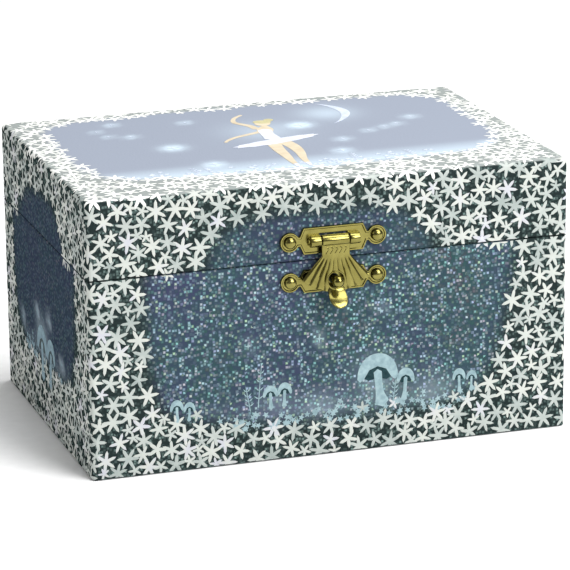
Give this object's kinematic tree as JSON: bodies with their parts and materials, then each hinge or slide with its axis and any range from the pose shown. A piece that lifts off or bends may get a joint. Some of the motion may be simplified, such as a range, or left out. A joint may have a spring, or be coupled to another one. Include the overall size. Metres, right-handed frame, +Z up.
{
  "type": "musical jewellery box",
  "caption": "Paper-covered jewellery box with a hinged mirrored lid, brass hasp, lined compartments and a wind-up musical movement that turns a folding ballerina.",
  "frame": {"origin": "centre of the underside, where the box rests", "axes": "+X along the front from left to right, +Y from front to back, +Z up"},
  "size_m": [0.155, 0.1331, 0.0878],
  "materials": {
    "printed_paper": "metallised holographic paper, printed and laminated",
    "greyboard": "uncoated greyboard",
    "felt_paper": "flocked base paper",
    "velvet": "short-pile velvet on card",
    "satin_card": "satin-covered card",
    "mirror_glass": "silvered glass",
    "polished_brass": "polished, lacquered",
    "bright_steel": "bright zinc-plated",
    "spring_steel": "blued spring steel",
    "zinc_casting": "zinc die casting",
    "moulded_plastic": "injection moulded, hand painted",
    "tulle": "stiffened tulle",
    "ribbon": "satin ribbon"
  },
  "bodies": {
    "case": {"base_sheet": "felt_paper", "bottom_board": "greyboard", "front_board": "greyboard", "back_board": "greyboard", "left_board": "greyboard", "right_board": "greyboard", "case_wrap": "printed_paper", "tray_lining": "velvet", "rear_partition": "velvet", "left_divider": "velvet", "right_divider": "velvet", "stage_platform": "velvet", "movement_bedplate": "zinc_casting", "comb": "spring_steel", "comb_screw_left": "bright_steel", "comb_screw_right": "bright_steel", "bedplate_screw_left": "bright_steel", "bedplate_screw_right": "bright_steel", "governor_bracket": "zinc_casting", "hinge_case_leaf_left": "polished_brass", "hinge_case_leaf_right": "polished_brass", "hinge_pin_left": "bright_steel", "hinge_pin_right": "bright_steel", "catch_plate": "polished_brass", "catch_stud": "polished_brass", "catch_nail_left": "polished_brass", "catch_nail_right": "polished_brass", "figure_spring": "spring_steel", "ribbon_stay": "ribbon"},
    "lid": {"lid_top_board": "greyboard", "lid_front_board": "greyboard", "lid_back_board": "greyboard", "lid_left_board": "greyboard", "lid_right_board": "greyboard", "lid_wrap": "printed_paper", "mirror": "mirror_glass", "mirror_surround": "satin_card", "hinge_lid_leaf_left": "polished_brass", "hinge_lid_leaf_right": "polished_brass", "hasp_plate": "polished_brass", "hasp_pin": "polished_brass", "hasp_nail_left": "polished_brass", "hasp_nail_right": "polished_brass"},
    "hasp": {"hasp_leaf": "polished_brass"},
    "key": {"winding_key": "polished_brass", "winding_arbor": "bright_steel"},
    "barrel": {"spring_barrel": "polished_brass", "crown_wheel": "polished_brass", "mainspring": "spring_steel"},
    "cylinder": {"pin_cylinder": "polished_brass", "cylinder_gear": "polished_brass"},
    "spindle": {"spindle": "bright_steel"},
    "governor": {"governor_wheel": "polished_brass"},
    "worm": {"governor_worm": "bright_steel", "air_brake": "moulded_plastic"},
    "stop": {"stop_rod": "bright_steel"},
    "figure_foot": {"foot_ferrule": "polished_brass"},
    "ballerina": {"ballerina_figure": "moulded_plastic", "tutu": "tulle"}
  },
  "joints": [
    {"name": "lid_hinge", "type": "hinge", "parent": "case", "child": "lid", "pos_m": [0, 0.05495, 0.06315], "axis": [-1, 0, 0], "range_deg": [0, 100], "deforming": ["ribbon_stay"]},
    {"name": "hasp_hinge", "type": "hinge", "parent": "lid", "child": "hasp", "pos_m": [0, -0.05545, 0.0695], "axis": [-1, 0, 0], "range_deg": [0, 150]},
    {"name": "key_turn", "type": "hinge", "parent": "case", "child": "key", "pos_m": [0, 0.06, 0.024], "axis": [0, 1, 0], "continuous": true},
    {"name": "barrel_turn", "type": "hinge", "parent": "case", "child": "barrel", "pos_m": [0, 0.0465, 0.024], "axis": [0, 1, 0], "continuous": true, "deforming": ["mainspring"]},
    {"name": "cylinder_turn", "type": "hinge", "parent": "case", "child": "cylinder", "pos_m": [0.013, 0.0318, 0.024], "axis": [1, 0, 0], "continuous": true},
    {"name": "spindle_turn", "type": "hinge", "parent": "case", "child": "spindle", "pos_m": [0, 0.0318, 0.04], "axis": [0, 0, 1], "continuous": true},
    {"name": "governor_turn", "type": "hinge", "parent": "case", "child": "governor", "pos_m": [0.0322, 0.0318, 0.0152], "axis": [1, 0, 0], "continuous": true},
    {"name": "worm_turn", "type": "hinge", "parent": "case", "child": "worm", "pos_m": [0.0376, 0.0264, 0.0152], "axis": [0, 0, 1], "continuous": true},
    {"name": "stop_slide", "type": "slide", "parent": "case", "child": "stop", "axis": [0, 0, 1], "range_m": [0, 0.003]},
    {"name": "figure_fold", "type": "hinge", "parent": "case", "child": "figure_foot", "pos_m": [0, 0.0318, 0.063], "axis": [-1, 0, 0], "range_deg": [0, 90], "deforming": ["figure_spring"]},
    {"name": "figure_spin", "type": "hinge", "parent": "figure_foot", "child": "ballerina", "pos_m": [0, 0.0226, 0.063], "axis": [0, -1, 0], "continuous": true}
  ],
  "couplings": [
    {"joint": "figure_fold", "follows": "lid_hinge", "ratio": 0.9},
    {"joint": "stop_slide", "follows": "lid_hinge", "m_per_rad": 0.0017},
    {"joint": "cylinder_turn", "follows": "barrel_turn", "ratio": -4.2},
    {"joint": "spindle_turn", "follows": "barrel_turn", "ratio": -4.2},
    {"joint": "figure_spin", "follows": "barrel_turn", "ratio": -4.2},
    {"joint": "governor_turn", "follows": "barrel_turn", "ratio": 11.2},
    {"joint": "worm_turn", "follows": "barrel_turn", "ratio": 224}
  ]
}
